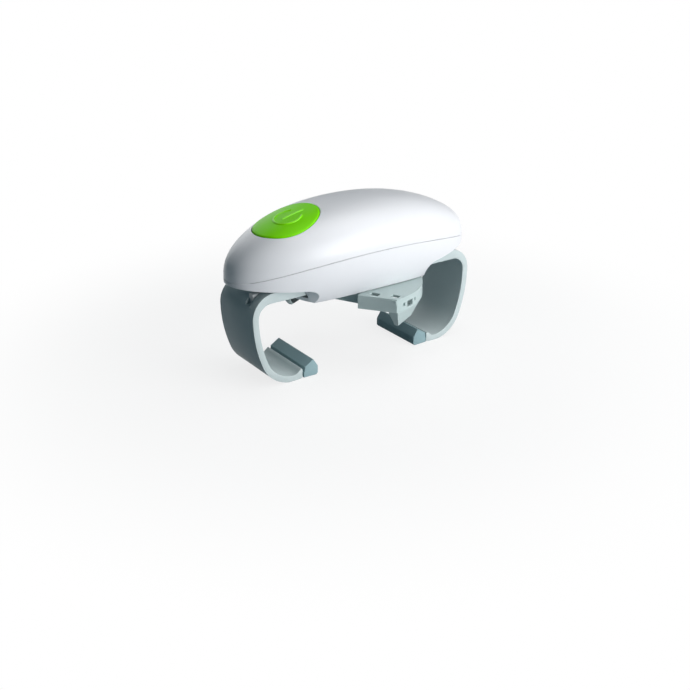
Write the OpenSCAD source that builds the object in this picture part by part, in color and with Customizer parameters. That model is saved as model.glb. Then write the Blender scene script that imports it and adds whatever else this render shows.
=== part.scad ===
// Electric jar opener: a domed body with two hooked arms that hold the jar, and a
// turning carriage below it with two jaws that hold the lid. Millimetres, +Z up.
// The origin is on the twist axis, at table height. X is the body's long axis.

/* [Housing] */
// Half of the body's length
half_length = 110; // [106:0.5:118]
// Half of the body's width at the parting line
half_width = 45; // [44:0.5:52]
// Height of the parting line above the table at the two ends of the body
part_end_z = 82.5; // [82:0.25:88]
// How much higher the parting line is at the middle
part_crown = 15.7; // [13:0.1:17]
// Rise of the upper shell above the parting line
shell_rise = 32.2; // [32:0.2:40]
// Depth of the lower shell's full round section, before the belly cuts it flat
belly_round = 45; // [42:0.5:50]
// Height of the belly's flat underside above the table
belly_z = 62.2; // [61.8:0.1:62.6]
// Radius of the belly round the twist axis
belly_radius = 61; // [60:0.5:63]
// Radius of the hollow sweep between the belly and the ends of the body
belly_sweep = 12; // [9:0.5:13]
// Wall thickness of both shells
wall = 2.2; // [1.8:0.1:2.6]
// Open seam between the two shells
seam = 0.5; // [0.2:0.1:0.8]
// Height of the locating lip inside the seam
lip_height = 2; // [1:0.25:3]

/* [Start button] */
// Length of the oval button
button_length = 56; // [48:1:58]
// Width of the oval button
button_width = 51; // [45:1:52]
// Distance of the button's centre from the end of the body
button_setback = 53; // [50:0.5:55]
// How far the button stands above the shell
button_proud = 0.7; // [0.3:0.1:1.2]
// Travel of the button
button_travel = 1.8; // [1:0.1:2]
// Gap round the button
button_gap = 0.4; // [0.3:0.05:0.6]

/* [Battery bay] */
// Diameter of one AA cell
cell_diameter = 14.5; // [14.1:0.1:14.6]
// Length of one AA cell
cell_length = 50.5; // [49:0.5:51]
// Width of the battery door
door_width = 56; // [50:1:60]
// Height of the battery door
door_height = 17; // [14:0.5:19]
// Gap round the battery door
door_gap = 0.35; // [0.3:0.05:0.6]

/* [Jar arms] */
// Width of the arms
arm_width = 50; // [46:1:51]
// Thickness of the arms
arm_thickness = 5; // [4:0.25:5.5]
// Reach of the arms from the twist axis to their outer faces
arm_reach = 103.2; // [102:0.2:105]
// Radius of the arm's shoulder
shoulder_radius = 18.5; // [16:0.5:19]
// Radius of the arm's long side
side_radius = 105; // [95:1:120]
// Radius of the arm's foot
foot_radius = 29; // [27:0.5:30]
// Distance from the twist axis to the grip face of a jar pad at rest
jar_grip = 47; // [46:0.5:48]
// Height of the arm's strap underside above the table
strap_z = 68; // [67.8:0.1:68.3]
// Thickness of a jar pad
pad_thickness = 12.5; // [11:0.5:12.5]
// Height of a jar pad
pad_height = 15.5; // [13:0.5:18]

/* [Lid jaws] */
// Heading of the near jaw round the twist axis at rest
jaw_heading = -62.5; // [-90:0.5:0]
// Distance from the twist axis to the lid jaw's grip face at rest
lid_grip = 45; // [44:0.5:46]
// Radius of the lid jaw's outer edge at rest
jaw_radius = 59; // [58.5:0.1:60]
// Half width of the jaw plate at its inner end
jaw_half_width = 29; // [26:0.5:30]
// Half width of the jaw plate at its outer corners
jaw_nose_half = 24; // [22:0.5:25]
// Thickness of the jaw plate
jaw_plate = 11; // [10:0.25:12]
// Depth of the hanging jaw below the plate
jaw_drop = 16; // [14:0.5:20]
// Wall of the jaw mouldings
jaw_wall = 2; // [1.6:0.1:2.4]

/* [Gears] */
// Tooth module of the planetary gears
planet_module = 1.1; // [1.05:0.01:1.15]
// Teeth of the sun gear and of each planet gear
planet_teeth = 12; // [12:12:12]
// Tooth module of the arm pinion and its racks
arm_module = 1.25; // [1.2:0.01:1.3]
// Teeth of the arm pinion
arm_pinion_teeth = 16; // [16:2:16]
// Tooth module of the jaw pinion and its racks
jaw_module = 1; // [0.95:0.01:1.05]
// Teeth of the jaw pinion
jaw_pinion_teeth = 14; // [14:2:14]
// Running gap between plates, gears and shafts along the twist axis
running_gap = 0.4; // [0.3:0.05:0.5]
// Slack between the flanks of meshing teeth
backlash = 0.35; // [0.3:0.05:0.45]

/* [Motor] */
// Diameter of the motor can
motor_diameter = 24; // [22:0.5:25]
// Length of the motor can
motor_length = 27; // [25:0.5:28]

/* [Hidden] */
$fn = 48;

shell_steps = 24;
section_steps = 14;
plan_exponent = 2.08;
section_exponent = 2.46;
length_exponent = 2.69;
through = 60;

// ---- the body's outline ----

// Height of the parting line at a place along the body
function parting_z(x) = part_end_z + part_crown * (1 - pow(x / half_length, 2));

// Fall of a superellipse, 1 at the middle and 0 at the end
function falloff(u, power) = pow(max(0, 1 - pow(abs(u), power)), 1 / power);

// Half width of the body's outline, taken in by an inset
function outline_half(x, inset) = (half_width - inset) * falloff(x / (half_length - inset), plan_exponent);

function signed_pow(v, power) = sign(v) * pow(abs(v), power);

// One cross section of a shell: an arch from one side of the outline to the other
function section_points(x, inset, rise, side, skirt) =
  let (
    half = outline_half(x, inset),
    height = (rise - inset) * falloff(x / (half_length - inset), length_exponent),
    base = parting_z(x)
  )
  concat(
    skirt > 0 ? [[x, half, base - side * skirt]] : [],
    [for (j = [0:section_steps])
      let (a = 180 * j / section_steps)
      [x, half * signed_pow(cos(a), 2 / section_exponent),
       base + side * height * pow(max(0, sin(a)), 2 / section_exponent)]],
    skirt > 0 ? [[x, -half, base - side * skirt]] : []
  );

// A closed dome on the parting surface. side is 1 for the upper half and -1 for the lower.
// skirt carries the sides past the parting surface, so that an inner dome cuts clean through.
module half_body(inset, rise, side, skirt) {
  reach = half_length - inset;
  rings = [for (i = [1:shell_steps - 1])
    section_points(-reach * cos(180 * i / shell_steps), inset, rise, side, skirt)];
  count = len(rings[0]);
  ring_count = len(rings);
  points = concat(
    [[-reach, 0, parting_z(reach)]],
    [for (r = rings) for (p = r) p],
    [[reach, 0, parting_z(reach)]]
  );
  last = len(points) - 1;
  first_cap = [for (j = [0:count - 1]) [0, 1 + (j + 1) % count, 1 + j]];
  last_cap = [for (j = [0:count - 1])
    [last, last - count + j, last - count + (j + 1) % count]];
  sides = [for (i = [0:ring_count - 2]) for (j = [0:count - 1])
    let (
      a = 1 + i * count + j,
      b = 1 + i * count + (j + 1) % count,
      c = b + count,
      d = a + count
    )
    each [[a, b, c], [a, c, d]]];
  faces = concat(first_cap, sides, last_cap);
  turned = [for (f = faces) [f[0], f[2], f[1]]];
  polyhedron(points, side > 0 ? turned : faces, convexity = 6);
}

// The parting curve as a solid band, from one height above it to another
module parting_band(low, high) {
  steps = 40;
  xs = [for (i = [0:steps]) -half_length - 5 + (2 * half_length + 10) * i / steps];
  rotate([90, 0, 0])
    linear_extrude(height = 4 * half_width, center = true)
      polygon(concat(
        [for (x = xs) [x, parting_z(x) + low]],
        [for (i = [steps:-1:0]) [xs[i], parting_z(xs[i]) + high]]
      ));
}

// ---- shared shapes ----

module tube(outer, inner, height) {
  difference() {
    cylinder(r = outer, h = height);
    translate([0, 0, -1]) cylinder(r = inner, h = height + 2);
  }
}

module rounded_plate(x, y, height, corner) {
  linear_extrude(height = height)
    rounded_outline(x, y, corner);
}

module rounded_outline(x, y, corner) {
  union() {
    square([x - 2 * corner, y], center = true);
    square([x, y - 2 * corner], center = true);
    for (sx = [-1, 1]) for (sy = [-1, 1])
      translate([sx * (x / 2 - corner), sy * (y / 2 - corner)]) circle(r = corner, $fn = 32);
  }
}

// An oval prism, as a regular outline of straight facets
module oval_prism(length, width, height) {
  linear_extrude(height = height)
    polygon([for (i = [0:47]) [length / 2 * cos(7.5 * i), width / 2 * sin(7.5 * i)]]);
}

// Screw with a pan head, pointing up from z = 0
module screw(diameter, length, head) {
  cylinder(d = diameter, h = length, $fn = 24);
  translate([0, 0, -head * 0.45]) cylinder(d = head, h = head * 0.45, $fn = 24);
}

// Points of an arc, from one angle to another
function arc(cx, cz, radius, from, to, steps) =
  [for (i = [0:steps])
    let (a = from + (to - from) * i / steps)
    [cx + radius * cos(a), cz + radius * sin(a)]];

// ---- gears ----

tip_share = 0.75;
root_share = 1.05;
flank = tan(20);

// Outline of a gear with straight-sided teeth; tooth 0 points at the phase angle
module gear_outline(module_size, teeth, phase) {
  pitch_r = module_size * teeth / 2;
  tip_r = pitch_r + tip_share * module_size;
  root_r = pitch_r - root_share * module_size;
  half_pitch = (PI * module_size / 2 - backlash) / 2;
  half_tip = half_pitch - tip_share * module_size * flank;
  half_root = half_pitch + root_share * module_size * flank;
  polygon([for (i = [0:teeth - 1])
    let (a = phase + 360 * i / teeth)
    each [
      for (s = [[root_r, -half_root], [tip_r, -half_tip], [tip_r, half_tip], [root_r, half_root]])
        s[0] * [cos(a + s[1] / s[0] * 180 / PI), sin(a + s[1] / s[0] * 180 / PI)]
    ]]);
}

module gear(module_size, teeth, phase, height, bore) {
  difference() {
    linear_extrude(height = height) gear_outline(module_size, teeth, phase);
    translate([0, 0, -1]) cylinder(r = bore, h = height + 2);
  }
}

// Phase that makes a gear mesh with another whose phase is known.
// heading is the direction from the known gear to the new one.
function meshing_phase(known_teeth, known_phase, new_teeth, heading) =
  heading + 180 + 360 / new_teeth * ((heading - known_phase) * known_teeth / 360 - 0.5);

// A straight rack whose teeth point to +Y, with the pitch line on y = 0
module rack_outline(module_size, from, to, offset, back) {
  pitch = PI * module_size;
  tip = tip_share * module_size;
  root = -root_share * module_size;
  half_pitch = (pitch / 2 - backlash) / 2;
  half_tip = half_pitch - tip * flank;
  half_root = half_pitch - root * flank;
  first = ceil((from + half_root - offset) / pitch);
  count = floor((to - half_root - offset) / pitch) - first;
  polygon(concat(
    [[from, root]],
    [for (i = [0:count])
      let (x = offset + (first + i) * pitch)
      each [[x - half_root, root], [x - half_tip, tip], [x + half_tip, tip], [x + half_root, root]]],
    [[to, root], [to, -back], [from, -back]]
  ));
}

// ---- heights along the twist axis, from the belly up ----

floor_top = belly_z + wall;
disc_z = belly_z - 0.3;
disc_height = 4.3;
disc_radius = 27;
disc_top = disc_z + disc_height;
base_z = disc_top + running_gap;
base_height = 2.8;
base_half_x = 31;
base_half_y = 31.5;
base_top = base_z + base_height;
tongue_z = base_top + running_gap;
strap_height = 4.5;
strap_top = strap_z + strap_height;
rack_height = 6;
rack_top = strap_top + rack_height;
plate_z = rack_top + 0.6;
plate_height = 2;
plate_top = plate_z + plate_height;
ring_floor_z = plate_top + running_gap;
ring_floor = 1.8;
ring_height = 9.3;
carrier_z = ring_floor_z + ring_floor + running_gap;
carrier_plate = 1.7;
planet_z = carrier_z + carrier_plate + running_gap;
planet_height = 5;
cover_z = plate_top + motor_length;
cover_height = 1.8;
cover_top = cover_z + cover_height;

neck_radius = 8;
bush_radius = 9.6;
shaft_radius = 3.4;
shaft_bore = shaft_radius + 0.4;
sleeve_gap = 0.05;

arm_pitch = arm_module * arm_pinion_teeth / 2;
jaw_pitch = jaw_module * jaw_pinion_teeth / 2;
ring_teeth = 3 * planet_teeth;
planet_orbit = planet_module * planet_teeth;
ring_pitch = planet_module * ring_teeth / 2;
ring_radius = ring_pitch + 4.2;

// Wheels of the reduction: [module, wheel teeth, pinion teeth]
final_module = 0.8;
final_teeth = 40;
final_pinion = 12;
middle_module = 0.7;
middle_teeth = 36;
middle_pinion = 12;
motor_module = 0.6;
first_teeth = 35;
motor_teeth = 10;

second_heading = 144.8;
second_reach = final_module * (final_teeth + final_pinion) / 2;
second_at = second_reach * [cos(second_heading), sin(second_heading)];
first_heading = 202.75;
first_reach = middle_module * (middle_teeth + middle_pinion) / 2;
first_at = second_at + first_reach * [cos(first_heading), sin(first_heading)];
motor_heading = 216.9;
motor_reach = motor_module * (first_teeth + motor_teeth) / 2;
motor_at = first_at + motor_reach * [cos(motor_heading), sin(motor_heading)];

final_phase = 0;
second_pinion_phase = meshing_phase(final_teeth, final_phase, final_pinion, second_heading);
first_pinion_phase = meshing_phase(middle_teeth, 0, middle_pinion, first_heading);
motor_phase = meshing_phase(first_teeth, 0, motor_teeth, motor_heading);

final_z = cover_top + 0.6;
final_height = 3;
low_wheel_height = 2;
middle_z = final_z + final_height + 0.6;
middle_height = 2.2;
pin_radius = 1.5;
pin_bore = pin_radius + 0.08;
pin_top = middle_z + middle_height + 1.4;
sun_hub = 3.2;

// ---- the body's shells ----

post_places = [[-64, 30.2], [-64, -30.2], [64, 30.2], [64, -30.2]];
post_radius = 3.4;
post_bore = 1.25;
post_top = 96;
channel_half = arm_width / 2 + 0.8;
channel_start = 47;
channel_end = 86;
channel_top = strap_top + rack_height + 0.5;
roof_height = 1.6;
rim_start = 68;
rim_slope = 0.12;
board_z = 101;
board_height = 1.6;
board_outer = -(half_length - 22);
board_inner = motor_at[0] - motor_diameter / 2 - 2.7;
board_width = 30;
board_places = [[board_outer + 3, 11], [board_outer + 3, -11],
                [board_inner - 3, 12], [board_inner - 3, -12]];
button_x = half_length - button_setback;
stem_x = (board_outer + board_inner) / 2 + 4;
screw_core = 0.9;

module upper_shell() {
  color("whitesmoke")
  difference() {
    union() {
      difference() {
        half_body(0, shell_rise, 1, 0);
        half_body(wall, shell_rise, 1, 4);
        parting_band(-through, seam / 2);
      }
      intersection() {
        shell_posts();
        half_body(wall / 2, shell_rise, 1, 0);
      }
    }
    translate([-button_x, 0, 0])
      oval_prism(button_length + 2 * button_gap, button_width + 2 * button_gap, 200);
    door_block(door_gap);
  }
}

// Screw posts that hang from the upper shell and stand on the lower shell's posts
module shell_posts() {
  for (p = post_places)
    translate([p[0], p[1], post_top])
      tube(post_radius, post_bore, 40);
}

// Region of the battery door, grown by a gap on each side
module door_block(gap) {
  low = parting_z(0) + 3.2;
  translate([-door_width / 2 - gap, 20, low - gap])
    cube([door_width + 2 * gap, half_width, door_height + 2 * gap]);
}

module battery_door() {
  color("whitesmoke")
  difference() {
    union() {
      intersection() {
        difference() {
          half_body(0, shell_rise, 1, 0);
          half_body(wall, shell_rise, 1, 4);
        }
        door_block(0);
      }
      door_finger();
    }
    translate([0, half_width + 4, parting_z(0) + 3.2 + door_height - 2.5])
      rotate([0, 90, 0])
        cylinder(r = 6.2, h = 14, center = true);
  }
}

// Snap finger behind the door's top edge
module door_finger() {
  intersection() {
    difference() {
      half_body(wall - 0.4, shell_rise, 1, 0);
      half_body(2 * wall - 0.4, shell_rise, 1, 4);
    }
    translate([-6, 20, parting_z(0) + 3.2 + door_height - 5])
      cube([12, half_width, 4.7]);
  }
}

module lower_shell() {
  color("white")
  difference() {
    union() {
      difference() {
        lower_form(0);
        lower_hollow();
        parting_band(-seam / 2, through);
      }
      seam_lip();
      intersection() {
        union() {
          strap_channels();
          lower_posts();
          base_posts();
        }
        lower_form(0.4);
      }
      tall_posts();
      board_posts();
    }
    translate([0, 0, belly_z - 1]) cylinder(r = disc_radius + 0.4, h = wall + 2, $fn = 72);
    for (s = [-1, 1]) channel_cut(s);
    for (p = post_places)
      translate([p[0], p[1], 0]) {
        cylinder(r = 1.7, h = post_top + 1, $fn = 24);
        cylinder(r = 2.9, h = screw_seat_z, $fn = 24);
      }
    for (p = base_places)
      translate([p[0], p[1], floor_top + 0.4]) cylinder(r = 1.05, h = 20, $fn = 24);
  }
}

screw_seat_z = 82;
base_places = [[-21, 28], [-21, -28], [21, 28], [21, -28]];

// Outer form of the lower shell, taken in by an inset
module lower_form(inset) {
  intersection() {
    half_body(inset, belly_round, -1, 0);
    union() {
      rotate_extrude($fn = 96)
        polygon(concat(
          [[0, belly_z + inset], [belly_radius - inset - 0.8, belly_z + inset],
           [belly_radius - inset, belly_z + inset + 0.8]],
          arc(belly_radius + belly_sweep, belly_z + 1.2, belly_sweep + inset, 180, 95, 10),
          [[belly_radius + belly_sweep, 120], [0, 120]]
        ));
      end_band(inset);
    }
  }
}

// The two ends of the body, whose underside climbs gently outwards
module end_band(inset) {
  low = belly_z + 1.2 + belly_sweep + inset - 0.6;
  rotate([90, 0, 0])
    linear_extrude(height = 4 * half_width, center = true)
      for (s = [-1, 1])
        polygon([
          [s * (rim_start - 8), low], [s * rim_start, low],
          [s * (half_length + 10), low + rim_slope * (half_length + 10 - rim_start)],
          [s * (half_length + 10), 120], [s * (rim_start - 8), 120]
        ]);
}

module lower_hollow() {
  intersection() {
    half_body(wall, belly_round, -1, 4);
    union() {
      translate([0, 0, floor_top]) cylinder(r = belly_radius - wall, h = through, $fn = 96);
      for (s = [-1, 1])
        translate([s > 0 ? belly_radius - 8 : -half_length, -half_width, channel_top + roof_height])
          cube([half_length - belly_radius + 8, 2 * half_width, through]);
    }
  }
}

// Tongue that stands up inside the upper shell's edge
module seam_lip() {
  lip = 1.2;
  intersection() {
    difference() {
      half_body(wall + 0.15, shell_rise, 1, 6);
      half_body(wall + 0.15 + lip, shell_rise, 1, 8);
    }
    parting_band(-3, lip_height);
  }
}

// Walls and roof of the two channels that the arm straps slide in
module strap_channels() {
  for (s = [-1, 1])
    translate([s > 0 ? channel_start : -channel_end - wall, -channel_half - 1.6, strap_z])
      cube([channel_end + wall - channel_start, 2 * channel_half + 3.2,
            channel_top + roof_height - strap_z]);
}

module channel_cut(s) {
  translate([s > 0 ? channel_start - 1 : -channel_end, -channel_half, floor_top + 0.8])
    cube([channel_end - channel_start + 1, 2 * channel_half, channel_top - floor_top - 0.8]);
}

module lower_posts() {
  for (p = post_places)
    translate([p[0], p[1], belly_z]) cylinder(r = post_radius + 1.4, h = post_top - belly_z);
}

module tall_posts() {
  for (p = post_places)
    translate([p[0], p[1], channel_top + 0.5])
      cylinder(r = post_radius, h = post_top - channel_top - 0.5);
}

module board_posts() {
  for (p = board_places)
    translate([p[0], p[1], channel_top + 0.5])
      tube(2.2, screw_core, board_z - channel_top - 0.5);
}

module base_posts() {
  for (p = base_places)
    translate([p[0], p[1], belly_z + 0.5]) cylinder(r = 3, h = base_z - belly_z - 0.5);
}

// ---- start button and switch ----

cap_depth = wall + 1.8;
flange_gap = 0.4;
flange_reach = 1.6;
stem_radius = 2.2;
collar_radius = 8;
collar_z = 114;
switch_size = 7;
switch_height = 5;
board_top = board_z + board_height;
plunger_radius = 1.7;
plunger_top = board_top + switch_height + button_travel + 0.6;
spring_radius = 6.3;
spring_wire = 0.9;
spring_turns = 5;
spring_z = board_top + 0.1;
spring_top = collar_z - 0.1;

// Height of a dome's ridge at a place along the body
function ridge_z(x, inset) =
  parting_z(x) + (shell_rise - inset) * falloff(x / (half_length - inset), length_exponent);

module start_button() {
  color("limegreen")
  union() {
    difference() {
      union() {
        intersection() {
          half_body(-button_proud, shell_rise, 1, 0);
          translate([-button_x, 0, 0]) oval_prism(button_length, button_width, 200);
        }
        intersection() {
          half_body(wall + flange_gap, shell_rise, 1, 0);
          translate([-button_x, 0, 0])
            oval_prism(button_length + 2 * (button_gap + flange_reach),
                       button_width + 2 * (button_gap + flange_reach), 200);
        }
      }
      half_body(cap_depth, shell_rise, 1, 9);
    }
    translate([stem_x, 0, plunger_top])
      cylinder(r = stem_radius, h = ridge_z(stem_x, cap_depth) + 1 - plunger_top);
    intersection() {
      half_body(cap_depth - 0.5, shell_rise, 1, 0);
      translate([stem_x, 0, collar_z]) tube(collar_radius, collar_radius - 2.6, 20);
    }
  }
}

// Round wire wound on a screw line from one height to another
module button_spring() {
  steps = 14;
  sides = 6;
  count = spring_turns * steps;
  rise = spring_top - spring_z - spring_wire;
  points = [for (i = [0:count]) for (k = [0:sides - 1])
    let (
      turn = 360 * i / steps,
      side = 360 * k / sides,
      r = spring_radius + spring_wire / 2 * cos(side)
    )
    [stem_x + r * cos(turn), r * sin(turn),
     spring_z + spring_wire / 2 + rise * i / count + spring_wire / 2 * sin(side)]];
  walls = [for (i = [0:count - 1]) for (k = [0:sides - 1])
    let (
      a = i * sides + k,
      b = i * sides + (k + 1) % sides
    )
    each [[a, b, a + sides], [b, b + sides, a + sides]]];
  start_cap = [for (k = [1:sides - 2]) [0, k + 1, k]];
  last = count * sides;
  end_cap = [for (k = [1:sides - 2]) [last, last + k, last + k + 1]];
  color("silver") polyhedron(points, concat(walls, start_cap, end_cap), convexity = 10);
}

module switch_body() {
  color("dimgray")
  translate([stem_x, 0, board_top])
    difference() {
      translate([-switch_size / 2, -switch_size / 2, 0])
        cube([switch_size, switch_size, switch_height]);
      translate([0, 0, 1]) cylinder(r = plunger_radius + 0.3, h = switch_height);
    }
}

module switch_plunger() {
  color("black")
  translate([stem_x, 0, board_top + 1 + button_travel + 0.3])
    cylinder(r = plunger_radius, h = plunger_top - board_top - 1 - button_travel - 0.3);
}

module circuit_board() {
  color("seagreen")
  difference() {
    translate([board_outer, -board_width / 2, board_z])
      cube([board_inner - board_outer, board_width, board_height]);
    for (p = board_places)
      translate([p[0], p[1], board_z - 1]) cylinder(r = 1.2, h = board_height + 2, $fn = 24);
  }
  color("dimgray")
  for (c = [[4, -3, 4, 6, 3], [4, 4, 5, 3, 1.6], [10, 8, 4, 4, 6]])
    translate([board_outer + c[0] - c[2] / 2, c[1] - c[3] / 2, board_top])
      cube([c[2], c[3], c[4]]);
}

module board_screws() {
  color("silver")
  for (p = board_places)
    translate([p[0], p[1], board_top + 1])
      mirror([0, 0, 1]) {
        cylinder(r = screw_core, h = 6, $fn = 24);
        cylinder(r = 1.9, h = 1, $fn = 24);
      }
}

// ---- batteries ----

cell_radius = cell_diameter / 2;
tray_wall = 0.9;
tray_shelf = 1.8;
tray_front = ring_radius + 0.35;
cell_y = tray_front + tray_wall + 0.1 + cell_radius;
lower_cell_z = plate_top + tray_shelf + cell_radius + 0.05;
cell_pitch = cell_diameter + 0.5;
contact_space = 1.8;
tray_half = cell_length / 2 + contact_space;
tray_height = tray_shelf + 2 * cell_pitch;

module battery_cells() {
  for (i = [0, 1])
    translate([0, cell_y, lower_cell_z + i * cell_pitch])
      mirror([i, 0, 0])
        rotate([0, 90, 0]) {
          color("goldenrod") translate([0, 0, -cell_length / 2])
            cylinder(r = cell_radius, h = cell_length - 1);
          color("silver") translate([0, 0, cell_length / 2 - 1])
            cylinder(r = 2.7, h = 1, $fn = 24);
        }
}

module battery_tray() {
  depth = cell_y + 4 - tray_front;
  color("lightgray")
  union() {
    translate([-tray_half - 1.2, tray_front, plate_top])
      cube([2 * tray_half + 2.4, tray_wall, tray_height]);
    for (s = [-1, 1])
      translate([s > 0 ? tray_half : -tray_half - 1.2, tray_front, plate_top])
        cube([1.2, depth, tray_height]);
    translate([-tray_half, tray_front, plate_top]) cube([2 * tray_half, depth, tray_shelf]);
  }
}

// Sprung plates at both ends of the cells
module battery_contacts() {
  color("silver")
  for (s = [-1, 1]) for (i = [0, 1])
    translate([s * (tray_half - 0.2), cell_y, lower_cell_z + i * cell_pitch]) {
      translate([-0.2, -3.5, -5]) cube([0.4, 7, 10]);
      rotate([0, -90 * s, 0]) cylinder(r1 = 3, r2 = 1.8, h = contact_space - 0.4);
    }
}

// ---- motor and reduction ----

module motor() {
  color("silver")
  translate([motor_at[0], motor_at[1], plate_top])
    difference() {
      union() {
        cylinder(d = motor_diameter, h = motor_length);
        translate([0, 0, motor_length]) cylinder(r = 3, h = cover_height - 0.2);
        translate([0, 0, motor_length]) cylinder(r = 1, h = cover_height + 3.6, $fn = 24);
      }
      for (s = [-1, 1])
        translate([s * 8, 0, motor_length - 3]) cylinder(r = 1, h = 4, $fn = 24);
    }
}

module motor_pinion() {
  color("goldenrod")
  translate([motor_at[0], motor_at[1], cover_top + 0.4])
    gear(motor_module, motor_teeth, motor_phase, 3, 1);
}

module first_gear() {
  color("ivory")
  translate([first_at[0], first_at[1], final_z])
    difference() {
      union() {
        linear_extrude(height = low_wheel_height)
          gear_outline(motor_module, first_teeth, 0);
        cylinder(r = 3, h = middle_z + middle_height - final_z);
        translate([0, 0, middle_z - final_z - 0.4])
          linear_extrude(height = middle_height + 0.8)
            gear_outline(middle_module, middle_pinion, first_pinion_phase);
      }
      translate([0, 0, -1]) cylinder(r = pin_bore, h = 20);
    }
}

module second_gear() {
  color("ivory")
  translate([second_at[0], second_at[1], final_z - 0.2])
    difference() {
      union() {
        linear_extrude(height = final_height + 0.4)
          gear_outline(final_module, final_pinion, second_pinion_phase);
        cylinder(r = 3.4, h = middle_z - final_z + 0.2);
        translate([0, 0, middle_z - final_z + 0.2])
          linear_extrude(height = middle_height) gear_outline(middle_module, middle_teeth, 0);
      }
      translate([0, 0, -1]) cylinder(r = pin_bore, h = 20);
    }
}

module gear_pins() {
  color("silver")
  for (at = [first_at, second_at])
    translate([at[0], at[1], cover_z]) cylinder(r = pin_radius, h = pin_top - cover_z);
}

// ---- planetary stage ----

module sun_gear() {
  color("ivory")
  union() {
    translate([0, 0, planet_z])
      linear_extrude(height = planet_height) gear_outline(planet_module, planet_teeth, 0);
    translate([0, 0, planet_z]) cylinder(r = sun_hub, h = final_z - planet_z);
    translate([0, 0, final_z])
      linear_extrude(height = final_height) gear_outline(final_module, final_teeth, final_phase);
  }
}

function planet_heading(i) = 90 + 120 * i;

module planet_gear(i) {
  heading = planet_heading(i);
  color("ivory")
  translate([planet_orbit * cos(heading), planet_orbit * sin(heading), planet_z])
    gear(planet_module, planet_teeth,
         meshing_phase(planet_teeth, 0, planet_teeth, heading), planet_height, pin_bore);
}

module planet_carrier() {
  color("silver")
  union() {
    translate([0, 0, carrier_z])
      cylinder(r = planet_orbit + 4, h = carrier_plate, $fn = 72);
    translate([0, 0, pinion_top + running_gap])
      cylinder(r = shaft_radius, h = carrier_z - pinion_top - running_gap + 0.5);
    for (i = [0:2])
      rotate([0, 0, planet_heading(i)])
        translate([planet_orbit, 0, carrier_z])
          cylinder(r = pin_radius, h = planet_z + planet_height + 0.6 - carrier_z);
  }
}

module ring_gear() {
  color("gainsboro")
  translate([0, 0, ring_floor_z])
    difference() {
      cylinder(r = ring_radius, h = ring_height, $fn = 96);
      translate([0, 0, ring_floor])
        linear_extrude(height = ring_height) ring_outline();
      translate([0, 0, -1]) cylinder(r = shaft_bore, h = ring_floor + 2);
    }
}

// Opening of the ring gear, with its teeth pointing inwards
module ring_outline() {
  tip_r = ring_pitch - tip_share * planet_module;
  root_r = ring_pitch + root_share * planet_module;
  half_pitch = (PI * planet_module / 2 - backlash) / 2;
  half_tip = half_pitch - tip_share * planet_module * flank;
  half_root = half_pitch + root_share * planet_module * flank;
  polygon([for (i = [0:ring_teeth - 1])
    let (a = 360 * i / ring_teeth)
    each [
      for (s = [[root_r, -half_root], [tip_r, -half_tip], [tip_r, half_tip], [root_r, half_root]])
        s[0] * [cos(a + s[1] / s[0] * 180 / PI), sin(a + s[1] / s[0] * 180 / PI)]
    ]]);
}

// ---- gearbox ----

plate_length = 76;
plate_width = 62;
plate_middle = -8;
cover_length = 86;
cover_width = 47;
cover_middle = -15;
pillar_radius = 2.6;
cover_places = [[-31, -21], [-31, 20.5], [25, -20.5], [25, 20.5]];

module gearbox_base() {
  color("gainsboro")
  difference() {
    union() {
      translate([0, 0, base_z])
        rounded_plate(2 * base_half_x, 2 * base_half_y, base_height, 6);
      for (p = base_places)
        translate([p[0], p[1], base_z]) cylinder(r = 3, h = plate_z - base_z);
    }
    translate([0, 0, base_z - 1]) cylinder(r = bush_radius, h = base_height + 2);
    for (p = base_places)
      translate([p[0], p[1], base_z - 1]) cylinder(r = 1.3, h = 20, $fn = 24);
  }
}

module gearbox_plate() {
  color("gainsboro")
  difference() {
    union() {
      translate([plate_middle, 0, plate_z])
        rounded_plate(plate_length, plate_width, plate_height, 10);
      translate([-tray_half - 1.2, 10, plate_z])
        cube([2 * tray_half + 2.4, cell_y - 6, plate_height]);
    }
    translate([0, 0, plate_z - 1]) cylinder(r = neck_radius + sleeve_gap, h = plate_height + 2);
    for (p = base_places)
      translate([p[0], p[1], plate_z - 1]) {
        cylinder(r = 1.3, h = 20, $fn = 24);
        translate([0, 0, plate_height - 0.2]) cylinder(r = 2.4, h = 5, $fn = 24);
      }
  }
}

module gearbox_screws() {
  color("silver")
  for (p = base_places)
    translate([p[0], p[1], plate_top])
      mirror([0, 0, 1]) {
        cylinder(r = 2.2, h = 1.2, $fn = 24);
        cylinder(r = 1.05, h = plate_top - floor_top - 0.5, $fn = 24);
      }
}

// Upper plate on four pillars. The motor hangs under it and the reduction stands on it.
module gearbox_cover() {
  color("gainsboro")
  difference() {
    union() {
      translate([cover_middle, 0, cover_z])
        rounded_plate(cover_length, cover_width, cover_height, 8);
      for (p = cover_places)
        translate([p[0], p[1], plate_top])
          cylinder(r = pillar_radius, h = motor_length + 0.5);
    }
    translate([0, 0, cover_z - 1]) cylinder(r = sun_hub + sleeve_gap, h = cover_height + 2);
    for (at = [first_at, second_at])
      translate([at[0], at[1], cover_z - 1])
        cylinder(r = pin_radius, h = cover_height + 2);
    translate([motor_at[0], motor_at[1], cover_z - 1]) cylinder(r = 3.1, h = cover_height + 2);
  }
}

module arm_pinion() {
  color("gainsboro")
  difference() {
    union() {
      translate([0, 0, strap_top + 0.4])
        linear_extrude(height = rack_height - 0.8) gear_outline(arm_module, arm_pinion_teeth, 0);
      translate([0, 0, retainer_top + running_gap])
        cylinder(r = retainer_neck, h = strap_top + 1 - retainer_top);
      translate([0, 0, rack_top - 0.5]) cylinder(r = neck_radius, h = plate_top - rack_top + 0.4);
    }
    cylinder(r = shaft_bore, h = 200);
  }
}

// ---- carriage that carries the lid jaws ----

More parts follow.
